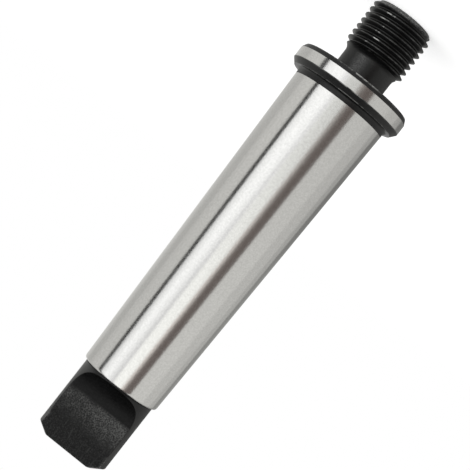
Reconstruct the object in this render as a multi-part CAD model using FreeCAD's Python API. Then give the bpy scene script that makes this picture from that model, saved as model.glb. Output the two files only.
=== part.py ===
"""Drill chuck arbor: a No. 3 self-holding taper shank with a tang, a collar and a threaded stud.

The arbor is turned from one bar, so it is one solid. Z is its axis. Z = 0 is the end face of the
threaded stud, which the arbor stands on, and the tang points up. Lengths are in millimetres.
"""

import FreeCAD, Part
import math
import os

MM_PER_INCH = 25.4

# Taper shank, to the standard for self-holding tapers
GAUGE_DIAMETER = 23.825
TAPER_RATIO = 19.922  # length over which the diameter falls by 1
GAUGE_TO_TANG_END = 94.0
GAUGE_TO_LARGE_END = 5.0
SMALL_END_CHAMFER_WIDTH = 0.45
SMALL_END_CHAMFER_LENGTH = 0.7

# Tang, a round end with two milled flats
TANG_LENGTH = 18.9  # end of the tang to the shoulder at the taper's small end
TANG_DIAMETER = 18.5
TANG_THICKNESS = 7.9  # across the two flats
TANG_END_CHAMFER_WIDTH = 2.4
TANG_END_CHAMFER_LENGTH = 1.6
CUTTER_RADIUS = 7.0  # milling cutter that leaves a curved rise at the end of each flat
CUTTER_LAND = 0.3  # round tang left between that rise and the shoulder

# Collar
COLLAR_DIAMETER = 29.3
RIM_WIDTH = 2.6
SEAT_CHAMFER_WIDTH = 0.6  # on the stud's side
SEAT_CHAMFER_LENGTH = 1.15
UNDERSIDE_CHAMFER_WIDTH = 1.1  # on the taper's side
UNDERSIDE_CHAMFER_LENGTH = 1.35
UNDERSIDE_FILLET = 0.8  # between the collar and the taper

# Stud with a 5/8-16 thread
STUD_LENGTH = 18.1  # end face to the collar's seat
THREAD_DIAMETER = 15.8
THREADS_PER_INCH = 16
THREAD_LENGTH = 11.7
THREAD_END_CHAMFER = 1.1
FIRST_CREST_HEIGHT = 1.1  # above the end face, on the +X side
THREAD_FLANK_ANGLE = 30.0  # each flank, from a plane square to the axis
FLAT_SHARE = 1 / 8  # width of the crest's flat and of the root's, as a share of the pitch
NECK_DEPTH = 0.42  # neck below the root of the thread
NECK_FLARE_RADIUS = 2.0  # curve from the neck up to the thread
SEAT_FILLET = 0.3

# Centre holes, for turning and grinding the arbor between centres
CENTRE_ANGLE = 60.0
STUD_CENTRE_DIAMETER = 6.0
TANG_CENTRE_DIAMETER = 7.2  # less than the tang is thick, so its mouth stays in the end face
CENTRE_DRILL_DIAMETER = 2.5
CENTRE_DRILL_LENGTH = 3.0
DRILL_POINT_ANGLE = 118.0

# How far the cutting shapes stand clear of the metal
CUT_CLEARANCE = 0.5
GROOVE_CLEARANCE = 0.05
SAME_POINT = 1e-6  # points nearer than this are one point

# Sizes worked out from the ones above
pitch = MM_PER_INCH / THREADS_PER_INCH
flank_slope = math.tan(math.radians(THREAD_FLANK_ANGLE))
flat_width = FLAT_SHARE * pitch
thread_depth = (pitch / 2 - flat_width) / flank_slope
thread_radius = THREAD_DIAMETER / 2
root_radius = thread_radius - thread_depth
neck_radius = root_radius - NECK_DEPTH
collar_radius = COLLAR_DIAMETER / 2
tang_radius = TANG_DIAMETER / 2
flat_height = TANG_THICKNESS / 2

# Heights above the stud's end face
seat = STUD_LENGTH
rim_bottom = seat + SEAT_CHAMFER_LENGTH
rim_top = rim_bottom + RIM_WIDTH
underside = rim_top + UNDERSIDE_CHAMFER_LENGTH
large_end = underside + UNDERSIDE_FILLET
gauge_plane = large_end + GAUGE_TO_LARGE_END
tang_end = gauge_plane + GAUGE_TO_TANG_END
shoulder = tang_end - TANG_LENGTH
chamfer_start = shoulder - SMALL_END_CHAMFER_LENGTH


def taper_radius(height):
    """Radius of the tapered shank at a height."""
    return (GAUGE_DIAMETER - (height - gauge_plane) / TAPER_RATIO) / 2


def arc_run(radius, rise):
    """How far an arc that starts level runs before it has risen by the given amount."""
    if rise >= radius:
        return radius
    return math.sqrt(radius**2 - (radius - rise) ** 2)


class Outline:
    """An outline in the XZ plane, drawn point by point with straight lines and arcs."""

    def __init__(self, x, z):
        self.start = FreeCAD.Vector(x, 0, z)
        self.last = self.start
        self.edges = []

    def line(self, x, z):
        """A straight line to a point, or nothing if the outline is there already."""
        end = FreeCAD.Vector(x, 0, z)
        if (end - self.last).Length > SAME_POINT:
            self.edges.append(Part.LineSegment(self.last, end).toShape())
            self.last = end

    def arc(self, x, z, centre_x, centre_z):
        """The shorter arc to a point, about a centre."""
        end = FreeCAD.Vector(x, 0, z)
        centre = FreeCAD.Vector(centre_x, 0, centre_z)
        towards_middle = (self.last + end) * 0.5 - centre
        towards_middle.normalize()
        middle = centre + towards_middle * (end - centre).Length
        self.edges.append(Part.Arc(self.last, middle, end).toShape())
        self.last = end

    def face(self):
        self.line(self.start.x, self.start.z)
        return Part.Face(Part.Wire(self.edges))

    def revolved(self):
        return self.face().revolve(FreeCAD.Vector(0, 0, 0), FreeCAD.Vector(0, 0, 1), 360)


def turned_blank():
    """The whole arbor as it leaves the lathe, before the thread and the flats are cut."""
    flare_rise = min(thread_radius - neck_radius, NECK_FLARE_RADIUS)
    flare_top = THREAD_LENGTH + arc_run(NECK_FLARE_RADIUS, flare_rise)
    large_radius = taper_radius(large_end)
    fillet_centre = large_radius + UNDERSIDE_FILLET
    small_radius = taper_radius(chamfer_start)

    outline = Outline(0, 0)
    outline.line(thread_radius - THREAD_END_CHAMFER, 0)
    outline.line(thread_radius, THREAD_END_CHAMFER)
    outline.line(thread_radius, THREAD_LENGTH)
    outline.line(neck_radius + flare_rise, THREAD_LENGTH)
    outline.arc(neck_radius, flare_top, neck_radius + NECK_FLARE_RADIUS, flare_top)
    outline.line(neck_radius, seat - SEAT_FILLET)
    outline.arc(neck_radius + SEAT_FILLET, seat, neck_radius + SEAT_FILLET, seat - SEAT_FILLET)
    outline.line(collar_radius - SEAT_CHAMFER_WIDTH, seat)
    outline.line(collar_radius, rim_bottom)
    outline.line(collar_radius, rim_top)
    outline.line(collar_radius - UNDERSIDE_CHAMFER_WIDTH, underside)
    outline.line(fillet_centre, underside)
    outline.arc(large_radius, large_end, fillet_centre, large_end)
    outline.line(small_radius, chamfer_start)
    outline.line(small_radius - SMALL_END_CHAMFER_WIDTH, shoulder)
    outline.line(tang_radius, shoulder)
    outline.line(tang_radius, tang_end - TANG_END_CHAMFER_LENGTH)
    outline.line(tang_radius - TANG_END_CHAMFER_WIDTH, tang_end)
    outline.line(0, tang_end)
    return outline.revolved()


def flat_cutter():
    """What the mill takes off the +X side of the tang: a flat that curves up at its lower end."""
    outside = tang_radius + CUT_CLEARANCE
    curve_run = arc_run(CUTTER_RADIUS, tang_radius - flat_height)
    curve_start = shoulder + CUTTER_LAND + curve_run
    curve_rise = min(outside - flat_height, CUTTER_RADIUS)
    curve_end = curve_start - arc_run(CUTTER_RADIUS, curve_rise)

    outline = Outline(flat_height, tang_end + CUT_CLEARANCE)
    outline.line(flat_height, curve_start)
    outline.arc(flat_height + curve_rise, curve_end, flat_height + CUTTER_RADIUS, curve_start)
    outline.line(outside, curve_end)
    outline.line(outside, tang_end + CUT_CLEARANCE)
    cutter = outline.face().extrude(FreeCAD.Vector(0, 2 * outside, 0))
    cutter.translate(FreeCAD.Vector(0, -outside, 0))
    return cutter


def centre_hole(mouth_diameter):
    """A countersunk centre hole that opens at Z = 0 and goes up."""
    mouth_radius = mouth_diameter / 2
    drill_radius = CENTRE_DRILL_DIAMETER / 2
    half_angle = math.radians(CENTRE_ANGLE / 2)
    sink_depth = (mouth_radius - drill_radius) / math.tan(half_angle)
    lip = CUT_CLEARANCE * math.tan(half_angle)
    drill_end = sink_depth + CENTRE_DRILL_LENGTH
    point = drill_radius / math.tan(math.radians(DRILL_POINT_ANGLE / 2))

    outline = Outline(0, -CUT_CLEARANCE)
    outline.line(mouth_radius + lip, -CUT_CLEARANCE)
    outline.line(drill_radius, sink_depth)
    outline.line(drill_radius, drill_end)
    outline.line(0, drill_end + point)
    return outline.revolved()


def thread_groove():
    """The helical groove between the crests, as pieces of one turn each.

    The first piece starts below the end face and the last one ends in the air over the neck. They
    join a quarter turn round from +X, clear of the lathe's seam in the blank.
    """
    root_half = flat_width / 2
    outer_radius = thread_radius + GROOVE_CLEARANCE
    outer_half = root_half + (outer_radius - root_radius) * flank_slope

    outline = Outline(root_radius, -root_half)
    outline.line(root_radius, root_half)
    outline.line(outer_radius, outer_half)
    outline.line(outer_radius, -outer_half)
    outline.line(root_radius, -root_half)
    helix = Part.makeHelix(pitch, pitch, root_radius)
    sweep = Part.BRepOffsetAPI.MakePipeShell(Part.Wire(helix.Edges))
    sweep.setFrenetMode(True)
    sweep.add(Part.Wire(outline.edges))
    sweep.build()
    sweep.makeSolid()
    one_turn = Part.Solid(sweep.shape())
    one_turn.rotate(FreeCAD.Vector(0, 0, 0), FreeCAD.Vector(0, 0, 1), 90)

    first_groove = FIRST_CREST_HEIGHT + pitch / 2 + pitch / 4
    turns_below = math.ceil((first_groove + outer_half) / pitch)
    height = first_groove - turns_below * pitch
    turns = []
    while height < THREAD_LENGTH + NECK_FLARE_RADIUS:
        turn = one_turn.copy()
        turn.translate(FreeCAD.Vector(0, 0, height))
        turns.append(turn)
        height += pitch
    return turns


def arbor():
    """The finished arbor. Its tang has one flat on the -Y side and one on the +Y side."""
    shape = turned_blank()

    stud_centre = centre_hole(STUD_CENTRE_DIAMETER)
    tang_centre = centre_hole(TANG_CENTRE_DIAMETER)
    tang_centre.rotate(FreeCAD.Vector(0, 0, 0), FreeCAD.Vector(1, 0, 0), 180)
    tang_centre.translate(FreeCAD.Vector(0, 0, tang_end))

    flats = []
    for turn in (-90, 90):
        cutter = flat_cutter()
        cutter.rotate(FreeCAD.Vector(0, 0, 0), FreeCAD.Vector(0, 0, 1), turn)
        flats.append(cutter)

    for cutter in [stud_centre, tang_centre, *flats, *thread_groove()]:
        shape = shape.cut(cutter)
    return shape


def main():
    shape = arbor()
    solid = shape.Solids[0]
    print("solids", len(shape.Solids), "valid", shape.isValid(), "faces", len(shape.Faces))
    print("volume", round(shape.Volume, 2), "bounds", shape.optimalBoundingBox(True, False))
    print("centre of mass", solid.CenterOfMass)
    os.makedirs("parts", exist_ok=True)
    solid.exportStep("parts/arbor.step")


main()
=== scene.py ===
# %% [markdown]
# # A drill chuck arbor, one piece of turned and ground steel
# The arbor carries a drill chuck in a machine. A ground taper sits in the spindle, a tang with two
# flats keeps it from turning there, and the chuck screws onto a threaded stud below a collar.
# It was turned from one bar, so the CAD part is one solid, and the dressed model is one mesh too.
# The frame comes first: everything that follows is built over the CAD part's exact place.

# %% Load the frame
import math
from collections import namedtuple

import bmesh
import bpy
from mathutils import Matrix, Vector


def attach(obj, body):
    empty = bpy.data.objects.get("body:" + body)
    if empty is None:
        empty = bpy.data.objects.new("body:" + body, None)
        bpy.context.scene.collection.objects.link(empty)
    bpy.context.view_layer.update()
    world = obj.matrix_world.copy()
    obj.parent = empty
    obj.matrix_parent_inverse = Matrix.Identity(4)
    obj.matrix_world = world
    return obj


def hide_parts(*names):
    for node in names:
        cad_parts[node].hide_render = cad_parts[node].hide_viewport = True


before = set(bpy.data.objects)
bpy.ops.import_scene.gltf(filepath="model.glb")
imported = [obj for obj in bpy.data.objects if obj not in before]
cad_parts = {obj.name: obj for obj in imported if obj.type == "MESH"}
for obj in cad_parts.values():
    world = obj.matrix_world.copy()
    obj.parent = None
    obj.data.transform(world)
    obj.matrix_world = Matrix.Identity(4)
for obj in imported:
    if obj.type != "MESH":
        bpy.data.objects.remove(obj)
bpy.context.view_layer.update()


# %% [markdown]
# ## Sizes
# A turned part is drawn as half of its section: a row of corners, each with a radius from the axis and
# a height. The sizes are the CAD part's own, in millimetres, so that both say the same thing.
# Blender counts in metres, so each mesh is scaled by MM at the moment it is made.

# %% Sizes of the arbor
MM = 0.001

TAPER_RATIO = 19.922
GAUGE_RADIUS = 23.825 / 2
GAUGE_HEIGHT = 29.0
LARGE_END = 24.0
SMALL_END = 103.4
SHOULDER = 104.1
TANG_END = 123.0

COLLAR_RADIUS = 14.65
SEAT = 18.1
RIM_BOTTOM = 19.25
RIM_TOP = 21.85
UNDERSIDE = 23.2
UNDERSIDE_RADIUS = 13.55
UNDERSIDE_FILLET = 0.8
SEAT_RADIUS = 14.05
SEAT_FILLET = 0.3

PITCH = 25.4 / 16
THREAD_RADIUS = 7.9
THREAD_LENGTH = 11.7
THREAD_DEPTH = 0.375 * PITCH / math.tan(math.radians(30))
ROOT_RADIUS = THREAD_RADIUS - THREAD_DEPTH
END_RADIUS = 6.8
FIRST_CREST = 1.1
NECK_RADIUS = ROOT_RADIUS - 0.42
FLARE_RADIUS = 2.0
FLARE_TOP = THREAD_LENGTH + math.sqrt(
    FLARE_RADIUS**2 - (FLARE_RADIUS - THREAD_RADIUS + NECK_RADIUS) ** 2
)

TANG_RADIUS = 9.25
TANG_HALF = 3.95
TANG_CHAMFER_WIDTH = 2.4
TANG_CHAMFER_LENGTH = 1.6
CUTTER_RADIUS = 7.0
CUTTER_LAND = 0.3

AROUND = 192  # divisions round the axis
JOIN_DISTANCE = 1.5e-6  # metres; points nearer than this are one point


def taper_radius(height):
    """Radius of the ground taper at a height."""
    return GAUGE_RADIUS - (height - GAUGE_HEIGHT) / TAPER_RATIO / 2


print("taper", round(taper_radius(LARGE_END), 3), "to", round(taper_radius(SMALL_END), 3))

# %% [markdown]
# ## Rounded outlines
# No machined corner is perfectly sharp, and it is the tiny round on it that catches the light.
# This helper walks along the corners and swaps each one for a short arc. On each side of the arc it
# adds one more point, close by. Smooth shading bends only between neighbouring points, so the
# long faces stay flat and the bend stays in the corner.

# %% A helper that rounds the corners of an outline
ARC_STEPS = 3
ARC_SHARE = 0.45  # an arc may take up to this share of the side next to it
HOLD = 0.06  # distance from an arc to the point that holds the flat face beside it
TINY = 1e-6


def rounded(corners, hold=HOLD, steps=ARC_STEPS):
    """Points along an outline. Each corner is (x, z, radius of the round on it)."""
    points = [Vector(corners[0][:2])]
    for before, corner, after in zip(corners, corners[1:], corners[2:]):
        here = Vector(corner[:2])
        back = Vector(before[:2]) - here
        ahead = Vector(after[:2]) - here
        half = (math.pi - back.angle(ahead)) / 2
        back_limit = ARC_SHARE * back.length
        ahead_limit = ARC_SHARE * ahead.length
        cut = min(corner[2] * math.tan(half), back_limit, ahead_limit)
        if cut < TINY:
            points.append(here)
            continue
        first = here + back.normalized() * cut
        last = here + ahead.normalized() * cut
        radius = cut / math.tan(half)
        middle_way = (back.normalized() + ahead.normalized()).normalized()
        centre = here + middle_way * (radius / math.cos(half))
        if cut + hold < back_limit:
            points.append(here + back.normalized() * (cut + hold))
        for step in range(steps + 1):
            blend = step / steps
            spoke = (first - centre).normalized().slerp((last - centre).normalized(), blend)
            points.append(centre + spoke * radius)
        if cut + hold < ahead_limit:
            points.append(here + ahead.normalized() * (cut + hold))
    points.append(Vector(corners[-1][:2]))
    return points


def in_scene(name, data):
    """A new object, linked to the scene."""
    thing = bpy.data.objects.new(name, data)
    bpy.context.scene.collection.objects.link(thing)
    return thing


def outline_object(name, points):
    """A row of points joined by edges, drawn in the XZ plane in metres, for a node tree to read."""
    mesh = bpy.data.meshes.new(name)
    places = [(point.x * MM, 0.0, point.y * MM) for point in points]
    mesh.from_pydata(places, [(i, i + 1) for i in range(len(places) - 1)], [])
    return in_scene(name, mesh)


print("a square corner becomes", len(rounded([(0, 0, 0), (1, 0, 0.1), (1, 1, 0)])), "points")

# %% [markdown]
# ## Finishes
# The taper and the collar's rim are ground bright. The rest keeps the black oxide that the whole
# arbor was dipped in before grinding. Ground steel comes first, and black oxide in three versions
# after it.
#
# Ground steel looks the way it does because of thousands of fine scratches that run round the axis.
# A shader needs no scratches for that: it can blur reflections more along the axis than round it.
# That is what the Anisotropic value does, and a Tangent node tells it which way "round the axis" is.
# On top of it, two noises that are stretched round the axis make single marks show in roughness and
# height, and a fine even grain shows in colour and height.

# %% Helpers for nodes and materials
def feed(tree, node, inputs):
    """Gives each named input of a node its value, or a link from a socket."""
    for label, value in inputs.items():
        if isinstance(value, bpy.types.NodeSocket):
            tree.links.new(value, node.inputs[label])
        else:
            node.inputs[label].default_value = value


def add_node(tree, kind, inputs, **settings):
    """A new node, with its settings and its inputs."""
    node = tree.nodes.new(kind)
    for name, setting in settings.items():
        setattr(node, name, setting)
    feed(tree, node, inputs)
    return node


def emptied(owner, output_kind="ShaderNodeOutputMaterial"):
    """The node tree of a material or a world with only an output in it, and the output's socket."""
    owner.use_nodes = True
    tree = owner.node_tree
    tree.nodes.clear()
    return tree, tree.nodes.new(output_kind).inputs["Surface"]


def new_material(name):
    """An empty node material, its tree and its Principled shader."""
    material = bpy.data.materials.new(name)
    tree, surface = emptied(material)
    shader = tree.nodes.new("ShaderNodeBsdfPrincipled")
    tree.links.new(shader.outputs["BSDF"], surface)
    return material, tree, shader


def stretched_noise(tree, scale, detail=3.0, roughness=0.55):
    """Noise on Object coordinates, with its own scale along X, Y and Z."""
    coordinates = tree.nodes.new("ShaderNodeTexCoord").outputs["Object"]
    mapping = add_node(tree, "ShaderNodeMapping", {"Vector": coordinates, "Scale": scale})
    stretched = mapping.outputs["Vector"]
    inputs = {"Vector": stretched, "Scale": 1.0, "Detail": detail, "Roughness": roughness}
    return add_node(tree, "ShaderNodeTexNoise", inputs).outputs["Fac"]


print("helpers for nodes and materials ready")

# %% Helpers for steps inside a node tree
def math_node(tree, operation, *operands):
    """One step of arithmetic. Each operand is a number or a socket."""
    node = add_node(tree, "ShaderNodeMath", dict(enumerate(operands)), operation=operation)
    return node.outputs["Value"]


def remapped(tree, value, low, high, to_low, to_high):
    """A value stretched from one range to another."""
    inputs = {"Value": value, "From Min": low, "From Max": high, "To Min": to_low, "To Max": to_high}
    return add_node(tree, "ShaderNodeMapRange", inputs).outputs["Result"]


def blended(tree, factor, first, second):
    """A colour between two, by a factor. Each colour is three numbers or a socket."""
    inputs = {"Factor": factor}
    for label, colour in (("A", first), ("B", second)):
        inputs[label] = (*colour, 1.0) if isinstance(colour, tuple) else colour
    return add_node(tree, "ShaderNodeMix", inputs, data_type="RGBA").outputs["Result"]


def bumped(tree, height, strength, distance):
    """Normals from a height that tilts the light on the surface, without moving it."""
    inputs = {"Height": height, "Strength": strength, "Distance": distance}
    return add_node(tree, "ShaderNodeBump", inputs).outputs["Normal"]


print("helpers for node trees ready")

# %% Ground steel
GRIND_SCALE = (30.0, 30.0, 5200.0)  # noise waves a metre: few round the axis, many along it
STREAK_SCALE = (18.0, 18.0, 900.0)
STEEL_GRAIN_SCALE = (2000.0, 2000.0, 2400.0)
NOISE_RANGE = (0.3, 0.7)  # nearly all of a noise lies between these
STEEL_DARK = (0.499, 0.494, 0.484)
STEEL_LIGHT = (0.555, 0.549, 0.539)
STEEL_ROUGHNESS = (0.205, 0.225)
ANISOTROPY = 0.8
QUARTER_TURN = 0.25
GRIND_SHARE = 0.07  # height of the grinding marks beside that of the grain
GRIND_STRENGTH = 0.5
GRIND_DEPTH = 0.000015  # metres

ground_steel, tree, shader = new_material("ground_steel")
tangent = add_node(tree, "ShaderNodeTangent", {}, direction_type="RADIAL", axis="Z")
grind = stretched_noise(tree, GRIND_SCALE)
streak = stretched_noise(tree, STREAK_SCALE, detail=2.0)
steel_grain = stretched_noise(tree, STEEL_GRAIN_SCALE, detail=2.0)
fine = remapped(tree, steel_grain, *NOISE_RANGE, 0.0, 1.0)
relief = math_node(tree, "MULTIPLY_ADD", grind, GRIND_SHARE, steel_grain)
steel_inputs = {
    "Metallic": 1.0,
    "Anisotropic": ANISOTROPY,
    "Anisotropic Rotation": QUARTER_TURN,
    "Tangent": tangent.outputs["Tangent"],
    "Base Color": blended(tree, fine, STEEL_DARK, STEEL_LIGHT),
    "Roughness": remapped(tree, streak, *NOISE_RANGE, *STEEL_ROUGHNESS),
    "Normal": bumped(tree, relief, GRIND_STRENGTH, GRIND_DEPTH),
}
feed(tree, shader, steel_inputs)
print("made", ground_steel.name)

# %% [markdown]
# ## Black oxide
# On the stud, some of the paleness is painted light: a pale patch on the neck is a painted highlight of
# the softbox, and the crests are painted paler on the side the softbox lights.
# Black oxide is a thin dark skin, so it is a dull black surface with a weak, soft shine. It is rubbed
# thin where the arbor is handled and knocked: on the edges of the collar and of the tang's end, on
# the crests of the thread and on the stud's chamfer, where steel shows in short bright marks. The
# flats of the tang are paler near the cutter's curve.
#
# A material can find most of these places by itself, from the distance to the axis, the height and
# the angle round the axis. For the other edges, the mesh will carry an attribute called edge, one at
# a sharp outward edge and zero on a smooth face. Each place is broken up with noise, because wear
# never comes in even bands. The stud, the turned faces and the milled flats wear in their own ways,
# so there are three oxides, each with its own functions that say where it is thin and where it is bare.
#
# A range below is four numbers: a value that goes from the first to the second turns into one that
# goes from the third to the fourth.

# %% Helpers for places of wear
STRIP_CORE = 0.25  # the strip is full up to this share of its width
SCUFF_RAISE = 0.1

Noises = namedtuple("Noises", "speck grain cloud patch")
Place = namedtuple("Place", "far height side angle")


def product(tree, *values):
    """All the values multiplied together."""
    total = values[0]
    for value in values[1:]:
        total = math_node(tree, "MULTIPLY", total, value)
    return total


def largest(tree, *values):
    """The largest of the values."""
    most = values[0]
    for value in values[1:]:
        most = math_node(tree, "MAXIMUM", most, value)
    return most


def place_on_arbor(tree):
    """Where a point of the surface lies: how far from the axis, how high, how far towards +X, and
    its angle round the axis, from the front towards +X."""
    coordinates = tree.nodes.new("ShaderNodeTexCoord").outputs["Object"]
    split = add_node(tree, "ShaderNodeSeparateXYZ", {"Vector": coordinates})
    x, y, z = (split.outputs[name] for name in "XYZ")
    squared = math_node(tree, "ADD", product(tree, x, x), product(tree, y, y))
    angle = math_node(tree, "ARCTAN2", x, math_node(tree, "MULTIPLY", y, -1.0))
    return Place(math_node(tree, "SQRT", squared), z, x, angle)


def strip(tree, place, centre, width):
    """One on a strip along the arbor, at an angle round it in degrees, with soft sides."""
    away = math_node(tree, "ABSOLUTE", math_node(tree, "SUBTRACT", place.angle, math.radians(centre)))
    return remapped(tree, away, math.radians(width), math.radians(STRIP_CORE * width), 0.0, 1.0)


def spots_in_strip(tree, noises, scuff, low, high):
    """Spots of wear. More of the noise passes the limits inside the scuffed strip."""
    raised = math_node(tree, "MULTIPLY_ADD", scuff, SCUFF_RAISE, noises.patch)
    return remapped(tree, raised, low, high, 0.0, 1.0)


def edge_wear(tree):
    """How sharp an outward edge is here, from the mesh's own attribute."""
    return add_node(tree, "ShaderNodeAttribute", {}, attribute_name="edge").outputs["Fac"]


print("helpers for places of wear ready")

# %% A recipe for black oxide
SPECK_SCALE = (2600.0, 2600.0, 2600.0)
GRAIN_SCALE = (3000.0, 3000.0, 3000.0)
CLOUD_SCALE = (160.0, 160.0, 160.0)
PATCH_SCALE = (520.0, 520.0, 520.0)
SKIN_DARK = (0.002, 0.002, 0.0021)
SKIN_LIGHT = (0.007, 0.007, 0.0073)
# pale tone of rubbed skin, also used for the stud's painted highlight and painted side light
RUBBED_AND_PAINTED_SHEEN = (0.085, 0.085, 0.083)
BARE_STEEL = (0.34, 0.34, 0.33)
SKIN_RANGE = (0.4, 0.7, 0.0, 1.0)
WORN_METALLIC = 0.9
SKIN_STRENGTH = 0.2
SKIN_DEPTH = 0.00002  # metres


def black_oxide(name, specular, roughness, thin_and_painted_sheen, bare):
    """An oxide finish. The first function says where the skin is rubbed thin and, on the stud, where
    painted highlight and painted side light make it pale; the second says where the skin is worn off.
    """
    material, tree, shader = new_material(name)
    noises = Noises(
        stretched_noise(tree, SPECK_SCALE, detail=2.0),
        stretched_noise(tree, GRAIN_SCALE, detail=2.0, roughness=0.6),
        stretched_noise(tree, CLOUD_SCALE, detail=3.0),
        stretched_noise(tree, PATCH_SCALE, detail=2.0),
    )
    place = place_on_arbor(tree)
    skin = blended(tree, remapped(tree, noises.speck, *SKIN_RANGE), SKIN_DARK, SKIN_LIGHT)
    # the pale tone stands for rubbed skin, and on the stud also for painted highlight and painted side
    # light
    skin = blended(tree, thin_and_painted_sheen(tree, noises, place), skin, RUBBED_AND_PAINTED_SHEEN)
    worn = bare(tree, noises, place)
    inputs = {
        "Specular IOR Level": specular,
        "Base Color": blended(tree, worn, skin, BARE_STEEL),
        "Metallic": math_node(tree, "MULTIPLY", worn, WORN_METALLIC),
        "Roughness": remapped(tree, noises.cloud, *NOISE_RANGE, *roughness),
        "Normal": bumped(tree, noises.speck, SKIN_STRENGTH, SKIN_DEPTH),
    }
    feed(tree, shader, inputs)
    return material


print("the recipe for black oxide is ready")

# %% Oxide on the stud and its neck
CREST_START = 7.78 * MM
CREST_FULL = 7.88 * MM
STUD_TOP = 13.0 * MM
CHAMFER_TOP = 1.25 * MM
CHAMFER_FULL = 0.7 * CHAMFER_TOP
STUD_SCUFF = (20.0, 15.0)  # centre and width of the strip, in degrees
# the neck's strip is a painted highlight: a pale patch where the softbox's highlight falls
NECK_HIGHLIGHT_STRIP = (17.0, 19.0)
CHAMFER_SPECKLE = (0.36, 0.6, 0.2, 1.0)
CHAMFER_SPECKS = (0.52, 0.66, 0.0, 0.6)
CREST_RUB = (CREST_START, CREST_FULL, 0.0, 0.3)
# the crests' rub is wear, and its rise towards +X, the side the softbox lights, is painted light
CREST_PAINTED_LIGHT_SIDE = (-4.0 * MM, 2.0 * MM, 0.4, 1.0)
CREST_MARKS = (0.55, 0.63)
CREST_SCUFF = (0.0, 0.6, 0.12, 1.0)
# grain and patches inside the neck's painted highlight
NECK_HIGHLIGHT_GRAIN = (0.36, 0.62, 0.4, 1.0)
NECK_HIGHLIGHT_PATCHES = (0.35, 0.6, 0.6, 1.0)


def on_end_chamfer(tree, place):
    """One on the chamfer of the stud's end."""
    return remapped(tree, place.height, CHAMFER_TOP, CHAMFER_FULL, 0.0, 1.0)


def stud_thin_and_painted_sheen(tree, noises, place):
    """The stud's chamfer is rubbed all over and the crests a little, with the crests painted paler
    towards the softbox as painted light. A pale patch on the neck is a painted highlight.
    """
    speckle = remapped(tree, noises.grain, *CHAMFER_SPECKLE)
    chamfer = product(tree, on_end_chamfer(tree, place), speckle)
    crest = remapped(tree, place.far, *CREST_RUB)
    # painted light: the crests are paler towards +X, where the softbox lights them
    crest = product(tree, crest, remapped(tree, place.side, *CREST_PAINTED_LIGHT_SIDE))
    above = math_node(tree, "GREATER_THAN", place.height, STUD_TOP)
    # painted highlight: a pale patch on the neck, in the strip that faces the softbox
    grainy = remapped(tree, noises.grain, *NECK_HIGHLIGHT_GRAIN)
    painted_neck_highlight = product(tree, grainy, remapped(tree, noises.patch, *NECK_HIGHLIGHT_PATCHES))
    neck = product(tree, above, painted_neck_highlight, strip(tree, place, *NECK_HIGHLIGHT_STRIP))
    return largest(tree, chamfer, crest, neck)


def stud_bare(tree, noises, place):
    """Short bright marks on the crests, most of them on the scuffed side, and specks on the chamfer."""
    scuff = strip(tree, place, *STUD_SCUFF)
    crest = remapped(tree, place.far, CREST_START, CREST_FULL, 0.0, 1.0)
    below = math_node(tree, "LESS_THAN", place.height, STUD_TOP)
    spots = spots_in_strip(tree, noises, scuff, *CREST_MARKS)
    marks = product(tree, crest, below, spots, remapped(tree, scuff, *CREST_SCUFF))
    specks = remapped(tree, noises.grain, *CHAMFER_SPECKS)
    return largest(tree, marks, product(tree, on_end_chamfer(tree, place), specks))


stud_oxide = black_oxide("black_oxide_stud", 0.34, (0.34, 0.44), stud_thin_and_painted_sheen, stud_bare)
print("made", stud_oxide.name)

# %% Oxide on the collar and on the round of the tang
COLLAR_EDGES = [  # radius, height, and how far from the edge the skin is rubbed
    (SEAT_RADIUS, SEAT, 0.45),
    (COLLAR_RADIUS, RIM_TOP, 0.25),
    (UNDERSIDE_RADIUS, UNDERSIDE, 0.2),
]
COLLAR_SCUFF = (-8.0, 18.0)
COLLAR_TOP = 30.0 * MM
WEAR_START = 117.0 * MM
WEAR_FULL = 119.0 * MM
EDGE_CORE = 0.4  # an edge is fully rubbed up to this share of its reach
EDGE_GRAIN = (0.38, 0.62, 0.05, 0.6)
EDGE_MARKS = (0.51, 0.62)
EDGE_SCUFF = (0.0, 0.6, 0.25, 1.0)
TANG_RUB = (110.0 * MM, 105.0 * MM, 0.0, 0.6)
TANG_SIDE = (5.0 * MM, 8.5 * MM, 0.0, 1.0)


def end_of_tang(tree, place):
    """One on the far end of the tang, where its edges are knocked."""
    return remapped(tree, place.height, WEAR_START, WEAR_FULL, 0.0, 1.0)


def near_edges(tree, place):
    """One on an edge of the collar or of the tang's end, falling to zero a little way from it."""
    nearness = []
    for radius, level, reach in COLLAR_EDGES:
        out = math_node(tree, "SUBTRACT", place.far, radius * MM)
        up = math_node(tree, "SUBTRACT", place.height, level * MM)
        squared = math_node(tree, "ADD", product(tree, out, out), product(tree, up, up))
        distance = math_node(tree, "SQRT", squared)
        nearness.append(remapped(tree, distance, EDGE_CORE * reach * MM, reach * MM, 1.0, 0.0))
    on_collar = math_node(tree, "LESS_THAN", place.height, COLLAR_TOP)
    knocked = largest(tree, end_of_tang(tree, place), on_collar)
    return largest(tree, product(tree, edge_wear(tree), knocked), *nearness)


def edge_thin(tree, noises, place):
    """Edges are rubbed pale, and so is one side of the tang's round, close to the taper."""
    edges = product(tree, near_edges(tree, place), remapped(tree, noises.grain, *EDGE_GRAIN))
    on_tang = math_node(tree, "GREATER_THAN", place.height, SHOULDER * MM)
    near_taper = remapped(tree, place.height, *TANG_RUB)
    one_side = remapped(tree, place.side, *TANG_SIDE)
    return largest(tree, edges, product(tree, on_tang, near_taper, one_side))


def edge_bare(tree, noises, place):
    """Edges have bright marks, most of them on the scuffed side."""
    scuff = strip(tree, place, *COLLAR_SCUFF)
    spots = spots_in_strip(tree, noises, scuff, *EDGE_MARKS)
    return product(tree, near_edges(tree, place), spots, remapped(tree, scuff, *EDGE_SCUFF))


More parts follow.
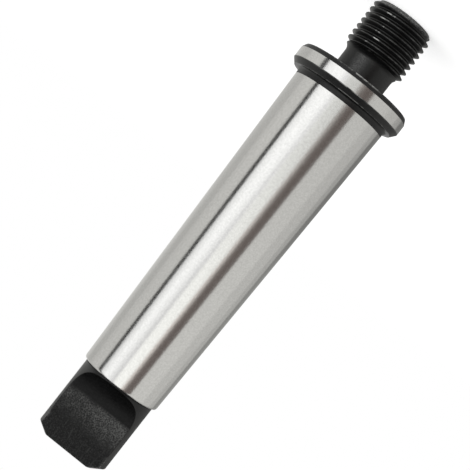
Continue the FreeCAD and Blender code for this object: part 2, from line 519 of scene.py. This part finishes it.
turned_oxide = black_oxide("black_oxide_turned", 0.28, (0.34, 0.46), edge_thin, edge_bare)
print("made", turned_oxide.name)

# %% Oxide on the milled flats
SCRATCH_SCALE = (1700.0, 1700.0, 320.0)
ON_FLAT = (110.2 * MM, 111.4 * MM, 0.0, 1.0)
PALE_HEIGHT = (118.1 * MM, 112.3 * MM, 0.0, 1.0)
PALE_SIDE = (2.5 * MM, -4.0 * MM, 0.7, 1.25)
PALE_BLOTCHES = (0.35, 0.65, 0.6, 1.25)
PALE_SPECKLE = (0.42, 0.62, 0.17, 1.15)
FLAT_SPECKS = (0.5, 0.68, 0.0, 0.25)
FLAT_SCRATCHES = (0.58, 0.74, 0.0, 0.22)
FLAT_MARKS = (0.55, 0.64, 0.0, 0.25)


def rubbed_end(tree, place):
    """One on the sharp edges of the tang's end."""
    return product(tree, edge_wear(tree), end_of_tang(tree, place))


def milled_thin(tree, noises, place):
    """Paler towards the cutter's curve and towards one side, with a few scratches along the arbor.
    The curve itself stays dark."""
    flat = remapped(tree, place.height, *ON_FLAT)
    towards = remapped(tree, place.height, *PALE_HEIGHT)
    sideways = remapped(tree, place.side, *PALE_SIDE)
    blotches = remapped(tree, noises.patch, *PALE_BLOTCHES)
    speckle = remapped(tree, noises.grain, *PALE_SPECKLE)
    pale = product(tree, flat, towards, sideways, blotches, speckle)
    specks = product(tree, flat, remapped(tree, noises.grain, *FLAT_SPECKS))
    scratch = stretched_noise(tree, SCRATCH_SCALE, detail=1.0)
    scratches = product(tree, flat, remapped(tree, scratch, *FLAT_SCRATCHES))
    edges = product(tree, rubbed_end(tree, place), remapped(tree, noises.grain, *EDGE_GRAIN))
    return largest(tree, pale, specks, scratches, edges)


def milled_bare(tree, noises, place):
    """A few bright marks on the edges of the flats."""
    return product(tree, rubbed_end(tree, place), remapped(tree, noises.patch, *FLAT_MARKS))


milled_oxide = black_oxide("black_oxide_milled", 0.12, (0.36, 0.5), milled_thin, milled_bare)
print("made", milled_oxide.name)

# %% [markdown]
# ## A lathe made of nodes
# Turning is a rule: take the half section and carry it once round the axis. Geometry Nodes can do
# that for any outline. A flat grid supplies the points, one column for each step round the axis and
# one row for each point of the outline. Each grid point looks up its place in the outline by its row,
# and is turned by its column's angle. Merging by distance closes the seam and the poles.
#
# The same idea with one more rule makes the thread, so the helpers for building a tree come first.

# %% Helpers for shapes made of nodes
def new_tree(name, inputs):
    """An empty geometry node tree with one outline going in, named sizes, and a mesh coming out."""
    tree = bpy.data.node_groups.new(name, "GeometryNodeTree")
    tree.interface.new_socket("Outline", in_out="INPUT", socket_type="NodeSocketGeometry")
    for label, kind in inputs:
        tree.interface.new_socket(label, in_out="INPUT", socket_type=kind)
    tree.interface.new_socket("Mesh", in_out="OUTPUT", socket_type="NodeSocketGeometry")
    return tree, tree.nodes.new("NodeGroupInput"), tree.nodes.new("NodeGroupOutput")


def grid_over_outline(tree, outline, columns):
    """A grid with a row for each point of the outline. Gives the grid, each point's column, and its
    own point of the outline."""
    size = add_node(tree, "GeometryNodeAttributeDomainSize", {"Geometry": outline})
    rows = size.outputs["Point Count"]
    grid = add_node(tree, "GeometryNodeMeshGrid", {"Vertices X": columns, "Vertices Y": rows})
    index = tree.nodes.new("GeometryNodeInputIndex").outputs["Index"]
    column = math_node(tree, "FLOOR", math_node(tree, "DIVIDE", math_node(tree, "ADD", index, 0.5), rows))
    row = math_node(tree, "SUBTRACT", index, math_node(tree, "MULTIPLY", column, rows))
    position = tree.nodes.new("GeometryNodeInputPosition").outputs["Position"]
    inputs = {"Geometry": outline, "Value": position, "Index": row}
    sample = add_node(tree, "GeometryNodeSampleIndex", inputs, data_type="FLOAT_VECTOR", domain="POINT")
    return grid.outputs["Mesh"], column, sample.outputs["Value"]


def turned(tree, point, angle):
    """A point turned about the Z axis."""
    inputs = {"Vector": point, "Angle": angle}
    return add_node(tree, "ShaderNodeVectorRotate", inputs, rotation_type="Z_AXIS").outputs["Vector"]


def closed_and_smooth(tree, mesh, places):
    """The mesh moved to its places, with its doubles merged and smooth shading on."""
    for kind, inputs in (
        ("GeometryNodeSetPosition", {"Position": places}),
        ("GeometryNodeMergeByDistance", {"Distance": JOIN_DISTANCE}),
        ("GeometryNodeSetShadeSmooth", {}),
        ("GeometryNodeRealizeInstances", {}),
    ):
        mesh = add_node(tree, kind, {"Geometry": mesh, **inputs}).outputs["Geometry"]
    return mesh


print("helpers for shapes ready")

# %% Helpers that finish a tree and run it
def with_material(tree, mesh, material, selection=None):
    """The mesh with a material set on all of it, or on a selection of its faces."""
    inputs = {"Geometry": mesh, "Material": material}
    if selection is not None:
        inputs["Selection"] = selection
    return add_node(tree, "GeometryNodeSetMaterial", inputs).outputs["Geometry"]


def plain_mesh(drawn, tree, values):
    """Runs the tree on a drawn outline and gives its result as a plain mesh."""
    modifier = drawn.modifiers.new(tree.name, "NODES")
    modifier.node_group = tree
    sockets = {item.name: item.identifier for item in tree.interface.items_tree if item.in_out == "INPUT"}
    for label, value in values.items():
        modifier[sockets[label]] = value
    bpy.context.view_layer.update()
    evaluated = drawn.evaluated_get(bpy.context.evaluated_depsgraph_get())
    mesh = bpy.data.meshes.new_from_object(evaluated)
    drawn.modifiers.remove(modifier)
    bpy.data.objects.remove(drawn)
    return mesh


print("helpers that finish a tree and run it ready")

# %% The lathe
lathe, group_in, group_out = new_tree(
    "lathe",
    [
        ("Around", "NodeSocketInt"),
        ("Ground From", "NodeSocketFloat"),
        ("Ground To", "NodeSocketFloat"),
        ("Bright", "NodeSocketMaterial"),
        ("Dark", "NodeSocketMaterial"),
    ],
)
columns = math_node(lathe, "ADD", group_in.outputs["Around"], 1)
grid, column, drawn_point = grid_over_outline(lathe, group_in.outputs["Outline"], columns)
step = math_node(lathe, "DIVIDE", 2 * math.pi, group_in.outputs["Around"])
angle = math_node(lathe, "MULTIPLY", column, step)
body = closed_and_smooth(lathe, grid, turned(lathe, drawn_point, angle))
place = lathe.nodes.new("GeometryNodeInputPosition")
parts = add_node(lathe, "ShaderNodeSeparateXYZ", {"Vector": place.outputs["Position"]})
above = math_node(lathe, "GREATER_THAN", parts.outputs["Z"], group_in.outputs["Ground From"])
below = math_node(lathe, "LESS_THAN", parts.outputs["Z"], group_in.outputs["Ground To"])
ground = math_node(lathe, "MULTIPLY", above, below)
body = with_material(lathe, body, group_in.outputs["Dark"])
body = with_material(lathe, body, group_in.outputs["Bright"], ground)
lathe.links.new(body, group_out.inputs["Mesh"])
print("the lathe has", len(lathe.nodes), "nodes")

# %% [markdown]
# ## Stud end, neck and collar
# The outline starts at the bottom of the centre hole, where the lathe's centre held the bar, and
# runs out over the end face. The thread takes over there, so a second outline starts where the
# thread has run out into the neck, and goes over the collar to the start of the taper.
# The collar's rim was ground with the taper, and its faces and chamfers stayed black.

# %% Turn the stud's end
CENTRE_SLOPE = math.tan(math.radians(30))
DRILL_RADIUS = 1.25
DRILL_LENGTH = 3.0
DRILL_TIP = DRILL_RADIUS / math.tan(math.radians(59))
DRILL_ROUND = 0.05
CONE_ROUND = 0.1
MOUTH_ROUND = 0.12
STUD_CENTRE_RADIUS = 3.0

sink = (STUD_CENTRE_RADIUS - DRILL_RADIUS) / CENTRE_SLOPE
stud_end_outline = rounded(
    [
        (0.0, sink + DRILL_LENGTH + DRILL_TIP, 0.0),
        (DRILL_RADIUS, sink + DRILL_LENGTH, DRILL_ROUND),
        (DRILL_RADIUS, sink, CONE_ROUND),
        (STUD_CENTRE_RADIUS, 0.0, MOUTH_ROUND),
        (END_RADIUS, 0.0, 0.0),
    ]
)
all_black = {
    "Around": AROUND,
    "Ground From": 1.0,
    "Ground To": 0.0,
    "Bright": ground_steel,
    "Dark": stud_oxide,
}
stud_end = plain_mesh(outline_object("stud_end", stud_end_outline), lathe, all_black)
print("stud end", len(stud_end.polygons), "faces")

# %% Turn the neck and the collar
GROUND_START = LARGE_END + 0.65
RIM_ROUND = 0.12
RIM_INSET = 0.05  # the ground band ends this far inside the rim's edges
WIDE_HOLD = 0.12

collar_outline = rounded(
    [
        (NECK_RADIUS, FLARE_TOP, 0.0),
        (NECK_RADIUS, SEAT, SEAT_FILLET),
        (SEAT_RADIUS, SEAT, RIM_ROUND),
        (COLLAR_RADIUS, RIM_BOTTOM, RIM_ROUND),
        (COLLAR_RADIUS, RIM_TOP, RIM_ROUND),
        (UNDERSIDE_RADIUS, UNDERSIDE, RIM_ROUND),
        (taper_radius(UNDERSIDE), UNDERSIDE, UNDERSIDE_FILLET),
        (taper_radius(GROUND_START), GROUND_START, 0.0),
    ],
    hold=WIDE_HOLD,
    steps=4,
)
bright_rim = {
    **all_black,
    "Dark": turned_oxide,
    "Ground From": (RIM_BOTTOM + RIM_INSET) * MM,
    "Ground To": (RIM_TOP - RIM_INSET) * MM,
}
collar = plain_mesh(outline_object("collar", collar_outline), lathe, bright_rim)
collar.materials.append(stud_oxide)
stud_slot = len(collar.materials) - 1
neck_reach = (NECK_RADIUS + SEAT_FILLET) * MM
for face in collar.polygons:
    middle = face.center
    if middle.z < SEAT * MM and math.hypot(middle.x, middle.y) < neck_reach:
        face.material_index = stud_slot
print("collar", len(collar.polygons), "faces")

# %% [markdown]
# ## Ground taper
# A straight cone, ground to the last hundredth on the real arbor. At its small end a soft, rounded
# chamfer leads it into the spindle, and a step goes in to the tang. The chamfer was ground too.

# %% Turn the taper
LAND_MIDDLE = SHOULDER + CUTTER_LAND / 2
CHAMFER_STEPS = 8
CHAMFER_WIDTH = 0.45
HOLD_WIDER = 0.001  # the cone is about this much wider one HOLD below its small end
SHOULDER_ROUND = 0.08
SHOULDER_INSET = 0.04

chamfer_length = SHOULDER - SMALL_END
small_radius = taper_radius(SMALL_END)
taper_corners = [
    (taper_radius(GROUND_START), GROUND_START, 0.0),
    (small_radius + HOLD_WIDER, SMALL_END - HOLD, 0.0),
]
for step in range(CHAMFER_STEPS + 1):
    lean = 0.5 * math.pi * step / CHAMFER_STEPS
    inward = CHAMFER_WIDTH * (1 - math.cos(lean))
    taper_corners.append((small_radius - inward, SMALL_END + chamfer_length * math.sin(lean), 0.0))
taper_corners.append((TANG_RADIUS, SHOULDER, SHOULDER_ROUND))
taper_corners.append((TANG_RADIUS, LAND_MIDDLE, 0.0))
taper_outline = rounded(taper_corners)
bright_taper = {
    **all_black,
    "Dark": turned_oxide,
    "Ground From": 0.0,
    "Ground To": (SHOULDER - SHOULDER_INSET) * MM,
}
taper = plain_mesh(outline_object("taper", taper_outline), lathe, bright_taper)
print("taper", len(taper.polygons), "faces")

# %% [markdown]
# ## Thread
# A screw thread is the outline of one ridge carried round the axis while it climbs, one pitch for
# each turn. The tree below is the lathe with that climb added. The edges of neighbouring turns fall
# on the same points, so merging closes the surface.
#
# The ends need care. The lathe cut a chamfer on the stud's end before the thread, and a flare where
# the thread runs out into the neck. In the tree both are limits: a point's radius is the smallest of
# the ridge, the chamfer and the flare, and its height stays between the end face and the top of
# the flare. Points held by a limit pile up on one circle, and merging takes them out.

# %% The thread's tree
screw, group_in, group_out = new_tree(
    "screw_thread",
    [
        ("Around", "NodeSocketInt"),
        ("Columns", "NodeSocketInt"),
        ("Pitch", "NodeSocketFloat"),
        ("Start", "NodeSocketFloat"),
        ("End Radius", "NodeSocketFloat"),
        ("Neck Radius", "NodeSocketFloat"),
        ("Flare Radius", "NodeSocketFloat"),
        ("Flare Top", "NodeSocketFloat"),
        ("Dark", "NodeSocketMaterial"),
    ],
)
asked = group_in.outputs
grid, column, drawn_point = grid_over_outline(screw, asked["Outline"], asked["Columns"])
turns = math_node(screw, "DIVIDE", column, asked["Around"])
parts = add_node(screw, "ShaderNodeSeparateXYZ", {"Vector": drawn_point})
climbed = math_node(screw, "MULTIPLY_ADD", turns, asked["Pitch"], asked["Start"])
height = math_node(screw, "ADD", climbed, parts.outputs["Z"])
height = math_node(screw, "MAXIMUM", height, 0.0)
height = math_node(screw, "MINIMUM", height, asked["Flare Top"])
chamfer = math_node(screw, "ADD", asked["End Radius"], height)
drop = math_node(screw, "SUBTRACT", asked["Flare Top"], height)
flare_squared = math_node(screw, "POWER", asked["Flare Radius"], 2.0)
inside = math_node(screw, "SUBTRACT", flare_squared, math_node(screw, "POWER", drop, 2.0))
hollow = math_node(screw, "SQRT", math_node(screw, "MAXIMUM", inside, 0.0))
flare_centre = math_node(screw, "ADD", asked["Neck Radius"], asked["Flare Radius"])
flare = math_node(screw, "SUBTRACT", flare_centre, hollow)
radius = math_node(screw, "MINIMUM", parts.outputs["X"], math_node(screw, "MINIMUM", chamfer, flare))
joined = add_node(screw, "ShaderNodeCombineXYZ", {"X": radius, "Z": height})
angle = math_node(screw, "MULTIPLY", turns, 2 * math.pi)
ridge = closed_and_smooth(screw, grid, turned(screw, joined.outputs["Vector"], angle))
screw.links.new(with_material(screw, ridge, asked["Dark"]), group_out.inputs["Mesh"])
print("the thread's tree has", len(screw.nodes), "nodes")

# %% Cut the thread
FLAT_HALF = PITCH / 16
CREST_ROUND = 0.07
ROOT_ROUND = 0.14

ridge_outline = rounded(
    [
        (ROOT_RADIUS, -PITCH / 2, 0.0),
        (ROOT_RADIUS, -PITCH / 2 + FLAT_HALF, ROOT_ROUND),
        (THREAD_RADIUS, -FLAT_HALF, CREST_ROUND),
        (THREAD_RADIUS, FLAT_HALF, CREST_ROUND),
        (ROOT_RADIUS, PITCH / 2 - FLAT_HALF, ROOT_ROUND),
        (ROOT_RADIUS, PITCH / 2, 0.0),
    ],
    hold=WIDE_HOLD,
)
turns_below = math.ceil((FIRST_CREST + PITCH / 2) / PITCH)
thread_start = FIRST_CREST - turns_below * PITCH
turns_needed = (FLARE_TOP + PITCH / 2 - thread_start) / PITCH
thread = plain_mesh(
    outline_object("thread", ridge_outline),
    screw,
    {
        "Around": AROUND,
        "Columns": math.ceil(turns_needed * AROUND) + 1,
        "Pitch": PITCH * MM,
        "Start": thread_start * MM,
        "End Radius": END_RADIUS * MM,
        "Neck Radius": NECK_RADIUS * MM,
        "Flare Radius": FLARE_RADIUS * MM,
        "Flare Top": FLARE_TOP * MM,
        "Dark": stud_oxide,
    },
)
print("thread", len(thread.polygons), "faces,", len(ridge_outline), "points a pitch")

# %% [markdown]
# ## Tang
# The tang is a round end with two flats milled on it. The cutter was a wheel, so each flat rises out
# of the metal along a curve, and where that curve meets the round it draws an arch. A boolean
# could cut it, but it leaves long thin faces and no round on the edges. The tang is built in layers
# instead, like a stack of cards: each layer is a circle with two sides cut straight, its corners
# rounded, and the width between the sides follows the cutter's curve.

# %% One layer of the tang
WALL_STEPS = AROUND // 2
CORNER_STEPS = 3
FLAT_STEPS = 36
EDGE_ROUND = 0.16


def layer(radius, half, edge_round=EDGE_ROUND):
    """Points round one layer, as (x, y): a circle of the radius, cut flat at half each side of Y = 0."""
    half = min(half, radius)
    small = min(edge_round, 0.5 * half)
    centre_y = half - small
    centre_x = math.sqrt(max((radius - small) ** 2 - centre_y**2, 0.0))
    wall_end = math.atan2(centre_y, centre_x) if half < radius else math.pi / 2
    quarter = []
    for step in range(WALL_STEPS // 2 + 1):
        angle = wall_end * step / (WALL_STEPS // 2)
        quarter.append((radius * math.cos(angle), radius * math.sin(angle)))
    for step in range(1, CORNER_STEPS + 1):
        angle = wall_end + (math.pi / 2 - wall_end) * step / CORNER_STEPS
        quarter.append((centre_x + small * math.cos(angle), centre_y + small * math.sin(angle)))
    for step in range(1, FLAT_STEPS // 2 + 1):
        blend = step / (FLAT_STEPS // 2)
        quarter.append((centre_x * (1 - blend), half))
    left = [(-x, y) for x, y in reversed(quarter[:-1])]
    upper = quarter + left
    lower = [(-x, -y) for x, y in upper[1:-1]]
    return upper + lower


print("a layer has", len(layer(TANG_RADIUS, TANG_HALF)), "points")

# %% Stack the tang
ARCH_LAYERS = 26
TANG_CENTRE_RADIUS = 3.6
END_ROUND = 0.15
CHAMFER_START_ROUND = 0.2
CHAMFER_END_ROUND = 0.12
END_DEPTHS = (0.24, 0.15, 0.11, 0.08)  # layers close to the end face, where the flats' edges bend in

curve_run = math.sqrt(CUTTER_RADIUS**2 - (CUTTER_RADIUS - TANG_RADIUS + TANG_HALF) ** 2)
curve_start = SHOULDER + CUTTER_LAND + curve_run
steepest = math.asin(curve_run / CUTTER_RADIUS)

layers = [(LAND_MIDDLE, TANG_RADIUS, TANG_RADIUS)]
for step in range(ARCH_LAYERS + 1):
    lean = steepest * (1 - (step / ARCH_LAYERS) ** 2)
    height = curve_start - CUTTER_RADIUS * math.sin(lean)
    layers.append((height, TANG_RADIUS, TANG_HALF + CUTTER_RADIUS * (1 - math.cos(lean))))

chamfer_start = TANG_END - TANG_CHAMFER_LENGTH
end_radius = TANG_RADIUS - TANG_CHAMFER_WIDTH
wall_outline = rounded(
    [
        (TANG_RADIUS, curve_start, 0.0),
        (TANG_RADIUS, chamfer_start, CHAMFER_START_ROUND),
        (end_radius, TANG_END, CHAMFER_END_ROUND),
        (0.5 * end_radius, TANG_END, 0.0),
    ]
)
chamfer_slope = TANG_CHAMFER_WIDTH / TANG_CHAMFER_LENGTH
wall_points = [point for point in wall_outline[1:-1] if TANG_END - point.y > END_DEPTHS[0]]
wall_points += [Vector((end_radius + depth * chamfer_slope, TANG_END - depth)) for depth in END_DEPTHS]
wall_points += [point for point in wall_outline[1:-1] if TANG_END - point.y <= END_DEPTHS[-1]]
for point in wall_points:
    rounding = max(0.0, END_ROUND - (TANG_END - point.y))
    inset = END_ROUND - math.sqrt(max(END_ROUND**2 - rounding**2, 0.0))
    layers.append((point.y, point.x, TANG_HALF - inset))
print(len(layers), "layers")

# %% Make the tang's mesh
CONE_SHARES = (0.5, 0.95, 1.0)  # rings between the mouth of the centre hole and its drilled part


def cone_height(x, y):
    """Height of the centre hole's cone over a point, or of the end face outside its mouth."""
    depth = (TANG_CENTRE_RADIUS - math.hypot(x, y)) / CENTRE_SLOPE
    return TANG_END - max(depth, 0.0)


rings = []
for height, radius, half in layers:
    rings.append([(x, y, min(height, cone_height(x, y))) for x, y in layer(radius, half)])

mouth = []
for x, y, height in rings[-1]:
    far = math.hypot(x, y)
    shrink = min(1.0, TANG_CENTRE_RADIUS / far)
    mouth.append((x * shrink, y * shrink, cone_height(x * shrink, y * shrink)))
rings.append(mouth)

drill_top = TANG_END - (TANG_CENTRE_RADIUS - DRILL_RADIUS) / CENTRE_SLOPE
drill_end = drill_top - DRILL_LENGTH
for share in CONE_SHARES:
    ring = []
    for x, y, height in mouth:
        far = math.hypot(x, y)
        now = far + (DRILL_RADIUS - far) * share
        ring.append((x / far * now, y / far * now, height + (drill_top - height) * share))
    rings.append(ring)
rings.append([(x, y, drill_end) for x, y, height in rings[-1]])
rings.append([(0.0, 0.0, drill_end - DRILL_TIP) for point in mouth])

ring_size = len(mouth)
on_flat = [abs(y) > TANG_HALF - TINY for x, y in layer(TANG_RADIUS, TANG_HALF)]
corners = []
milled_and_shaded = []
for level in range(len(rings) - 1):
    here = level * ring_size
    below_end = level < len(layers) - 1
    # painted shade: the turned land takes the duller milled oxide, which darkens it like the shoulder's
    # shadow
    land_in_painted_shade = below_end and layers[level][0] < SHOULDER + CUTTER_LAND
    for i in range(ring_size):
        j = (i + 1) % ring_size
        corners.append((here + i, here + j, here + ring_size + j, here + ring_size + i))
        milled_and_shaded.append(land_in_painted_shade or below_end and on_flat[i] and on_flat[j])
tang = bpy.data.meshes.new("tang")
tang.from_pydata([(x * MM, y * MM, z * MM) for ring in rings for x, y, z in ring], [], corners)
tang.materials.append(turned_oxide)
tang.materials.append(milled_oxide)
tang.polygons.foreach_set("material_index", [int(flag) for flag in milled_and_shaded])
tang.shade_smooth()
print("tang", len(tang.polygons), "faces")

# %% [markdown]
# ## One mesh
# The pieces meet on the same circles, so they can be joined into one closed surface. BMesh is
# Blender's workbench for such jobs: it takes each mesh in, merges the points that lie together,
# drops the faces that have shrunk to nothing, and turns all faces outwards.
# A closed surface has exactly two faces at each edge, and the cell prints how many edges don't.

# %% Join the arbor
SHARP_ANGLE = math.radians(34)
finishes = [ground_steel, turned_oxide, milled_oxide, stud_oxide]

workbench = bmesh.new()
for mesh in (stud_end, thread, collar, taper, tang):
    taken = len(workbench.faces)
    workbench.from_mesh(mesh)
    workbench.faces.ensure_lookup_table()
    for face in workbench.faces[taken:]:
        face.material_index = finishes.index(mesh.materials[face.material_index])
bmesh.ops.remove_doubles(workbench, verts=workbench.verts, dist=JOIN_DISTANCE)
bmesh.ops.dissolve_degenerate(workbench, edges=workbench.edges, dist=JOIN_DISTANCE / 3)
bmesh.ops.recalc_face_normals(workbench, faces=workbench.faces)
open_edges = [edge for edge in workbench.edges if len(edge.link_faces) != 2]
print("open edges", len(open_edges), "volume mm3", round(workbench.calc_volume(signed=True) / MM**3, 1))

EDGE_LEAST = math.radians(3)
EDGE_FULL = math.radians(9)

edge = workbench.verts.layers.float.new("edge")
for vertex in workbench.verts:
    bend = max(side.calc_face_angle_signed(0.0) for side in vertex.link_edges)
    vertex[edge] = min(max((bend - EDGE_LEAST) / (EDGE_FULL - EDGE_LEAST), 0.0), 1.0)
arbor_mesh = bpy.data.meshes.new("arbor_steel")
workbench.to_mesh(arbor_mesh)
workbench.free()
for finish in finishes:
    arbor_mesh.materials.append(finish)
arbor_mesh.shade_smooth()
arbor_mesh.set_sharp_from_angle(angle=SHARP_ANGLE)
arbor_steel = in_scene("arbor_steel", arbor_mesh)
triangles = sum(len(face.vertices) - 2 for face in arbor_mesh.polygons)
print("arbor", len(arbor_mesh.vertices), "points", triangles, "triangles")

# %% Ride on the frame
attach(arbor_steel, "root")
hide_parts("arbor")

# %% [markdown]
# ## Floor and light
# Bright steel has no look of its own: it shows what stands round it. The studio is a white room with
# a ring of boards: a wide softbox in front and to the left, dark boards on both sides of it that draw
# the dark bands down the taper, and grey boards all round the rest. The camera doesn't see them.
# The room's white is for the camera and for reflections, and matt surfaces get a quieter level.

# %% Floor
def is_seen_in_reflections(tree):
    """One for the camera's rays and for the rays of reflections and glass, zero for matt light."""
    path = tree.nodes.new("ShaderNodeLightPath")
    total = math_node(tree, "ADD", path.outputs["Is Camera Ray"], path.outputs["Is Glossy Ray"])
    total = math_node(tree, "ADD", total, path.outputs["Is Transmission Ray"])
    return math_node(tree, "MINIMUM", total, 1.0)


def square(half, height):
    """The corners of a level square round the axis."""
    return [(-half, -half, height), (half, -half, height), (half, half, height), (-half, half, height)]


def sheet(name, places, faces, paint):
    """A painted sheet of the studio."""
    mesh = bpy.data.meshes.new(name)
    mesh.from_pydata(places, [], faces)
    mesh.materials.append(paint)
    return in_scene(name, mesh)


FLOOR_SIZE = 6.0
FLOOR_LIFT = 0.54
FLOOR_COLOUR = (0.9, 0.9, 0.9, 1.0)

floor_paint = bpy.data.materials.new("floor_paint")
tree, surface = emptied(floor_paint)
matt = add_node(tree, "ShaderNodeBsdfDiffuse", {"Color": FLOOR_COLOUR})
lift = math_node(tree, "MULTIPLY", is_seen_in_reflections(tree), FLOOR_LIFT)
glow = add_node(tree, "ShaderNodeEmission", {"Strength": lift})
both = add_node(tree, "ShaderNodeAddShader", {0: matt.outputs["BSDF"], 1: glow.outputs["Emission"]})
tree.links.new(both.outputs["Shader"], surface)

floor = sheet("floor", square(FLOOR_SIZE / 2, 0.0), [(0, 1, 2, 3)], floor_paint)
floor.visible_glossy = False
print("floor", FLOOR_SIZE, "m wide")

# %% White room
MATT_LEVEL = 0.55

room = bpy.data.worlds.new("white_room")
bpy.context.scene.world = room
tree, surface = emptied(room, "ShaderNodeOutputWorld")
strength = math_node(tree, "MULTIPLY_ADD", is_seen_in_reflections(tree), 1.0 - MATT_LEVEL, MATT_LEVEL)
white = {"Color": (1.0, 1.0, 1.0, 1.0), "Strength": strength}
background = add_node(tree, "ShaderNodeBackground", white)
tree.links.new(background.outputs["Background"], surface)
print("room is", MATT_LEVEL, "for matt surfaces")

# %% A helper for boards
CAMERA_TURN = 4.0  # degrees from -Y towards -X
BOARD_DISTANCE = 0.6
BOARD_BOTTOM = -1.0
BOARD_TOP = 1.1
BOARD_STEP = 5.0  # degrees of bend to one flat piece of a board
EYE_LEVEL = 0.06
LAMP_LEAST = 1.3  # a board that shines more than this also lights matt surfaces


def direction(turn):
    """A level direction, in degrees round from the camera's own, towards the camera's right."""
    angle = math.radians(turn + CAMERA_TURN)
    return Vector((-math.sin(angle), -math.cos(angle), 0.0))


def shining(name, colour, strength):
    """A material that only shines."""
    paint = bpy.data.materials.new(name)
    tree, surface = emptied(paint)
    glow = add_node(tree, "ShaderNodeEmission", {"Color": (*colour, 1.0), "Strength": strength})
    tree.links.new(glow.outputs["Emission"], surface)
    return paint


def stand(name, places, faces, paint, lights_matt):
    """A sheet out of the camera's sight. Only a lamp also lights matt surfaces."""
    stood = sheet(name, places, faces, paint)
    stood.visible_camera = False
    stood.visible_shadow = False
    stood.visible_diffuse = lights_matt


def board(name, start, end, strength, tint, low, high):
    """A curved board round the arbor between two turns and two heights. A bright one is a lamp."""
    steps = max(1, round((end - start) / BOARD_STEP))
    places = []
    for step in range(steps + 1):
        spot = direction(start + (end - start) * step / steps) * BOARD_DISTANCE
        places.append((spot.x, spot.y, low))
        places.append((spot.x, spot.y, high))
    faces = [(2 * i, 2 * i + 2, 2 * i + 3, 2 * i + 1) for i in range(steps)]
    stand(name, places, faces, shining(name, tint, strength), strength > LAMP_LEAST)


print("boards stand", BOARD_DISTANCE, "m away")

# %% Set up the studio
WHITE = (1.0, 1.01, 1.01)
WARM_WHITE = (1.0, 1.01, 0.985)
LAVENDER = (0.985, 0.99, 1.0)
ROSE = (1.0, 0.93, 0.88)
BROWN = (1.0, 0.85, 0.79)
GREY = (1.0, 1.0, 0.97)
BOARD_TURN = -1.5  # degrees, turns all the boards together

SECTORS = [  # name, first and last turn, strength above and below eye level, tint
    ("left_far", -170.0, -132.0, 0.83, 0.75, GREY),
    ("left_back", -132.0, -107.0, 0.74, 0.76, GREY),
    ("left_side_back", -107.0, -96.0, 0.86, 0.92, GREY),
    ("left_side_middle", -96.0, -88.0, 0.9, 0.97, GREY),
    ("left_side_front", -88.0, -69.2, 0.92, 1.0, GREY),
    ("dark_edge", -69.2, -59.5, 0.04, 0.0, GREY),
    ("softbox_start", -59.5, -55.0, 1.15, 1.65, WHITE),
    ("softbox_rise", -55.0, -50.0, 1.45, 1.75, WHITE),
    ("softbox_left", -50.0, -44.0, 1.62, 1.75, WHITE),
    ("softbox_left_middle", -44.0, -37.0, 1.78, 1.85, WHITE),
    ("softbox_left_edge", -37.0, -29.0, 1.66, 1.85, WHITE),
    ("softbox_gap_edge", -29.0, -22.0, 1.43, 1.82, WHITE),
    ("softbox_gap", -22.0, -14.5, 1.17, 1.5, LAVENDER),
    ("softbox_middle_edge", -14.5, -10.5, 1.68, 1.25, WARM_WHITE),
    ("softbox_middle_left", -10.5, -2.0, 1.82, 1.04, WARM_WHITE),
    ("softbox_middle", -2.0, 6.0, 1.82, 0.98, WARM_WHITE),
    ("softbox_middle_end", 6.0, 9.0, 1.85, 0.95, WARM_WHITE),
    ("softbox_fade", 9.0, 12.0, 1.64, 0.8, WARM_WHITE),
    ("softbox_end", 12.0, 15.0, 1.3, 0.5, ROSE),
    ("dark_board_start", 15.0, 18.0, 0.97, 0.36, ROSE),
    ("dark_board_fade", 18.0, 21.0, 0.56, 0.27, ROSE),
    ("dark_board_left", 21.0, 26.0, 0.275, 0.235, BROWN),
    ("dark_board", 26.0, 40.0, 0.225, 0.2, BROWN),
    ("right_front", 40.0, 84.0, 1.02, 0.9, GREY),
    ("right_side", 84.0, 114.0, 0.87, 0.78, GREY),
    ("right_back", 114.0, 132.0, 0.72, 0.58, GREY),
    ("right_far", 132.0, 172.0, 0.4, 0.27, GREY),
]
CEILING_LEVEL = 0.03

for name, start, end, high_level, low_level, tint in SECTORS:
    first = start + BOARD_TURN
    last = end + BOARD_TURN
    board(name + "_high", first, last, high_level, tint, EYE_LEVEL, BOARD_TOP)
    board(name + "_low", first, last, low_level, tint, BOARD_BOTTOM, EYE_LEVEL)

dark = shining("dark_ceiling", GREY, CEILING_LEVEL)
stand("dark_ceiling", square(BOARD_DISTANCE, BOARD_TOP), [(0, 1, 2, 3)], dark, False)
print("the studio is set up")

# %% [markdown]
# ## Camera
# The photograph looks nearly straight at one flat of the tang, from about a third of a metre. The
# arbor lies across the frame with the stud at the upper right, so the camera is rolled.

# %% Camera
IMAGE_WIDTH = 470
FOCAL_PIXELS = 1450.0
SENSOR = 36.0
CAMERA_DISTANCE = 0.327
CAMERA_HEIGHT = 0.0619
CAMERA_SIDE = 0.00022
ROLL = 51.93  # degrees from the picture's right to the arbor's stud end
CLIP_START = 0.01

backward = direction(0.0)
sideways = Vector((-backward.y, backward.x, 0.0))
down = Vector((0.0, 0.0, -1.0))
roll = math.radians(ROLL)
camera_right = down * math.cos(roll) - sideways * math.sin(roll)
camera_up = down * math.sin(roll) + sideways * math.cos(roll)
camera_data = bpy.data.cameras.new("camera")
camera_data.sensor_width = SENSOR
camera_data.lens = FOCAL_PIXELS / IMAGE_WIDTH * SENSOR
camera_data.clip_start = CLIP_START
camera = in_scene("camera", camera_data)
place = backward * CAMERA_DISTANCE + sideways * CAMERA_SIDE + Vector((0.0, 0.0, CAMERA_HEIGHT))
turn = Matrix((camera_right, camera_up, backward)).transposed().to_4x4()
camera.matrix_world = Matrix.Translation(place) @ turn
bpy.context.scene.camera = camera
bpy.context.scene.view_settings.view_transform = "Standard"
print("lens", round(camera_data.lens, 2), "mm")
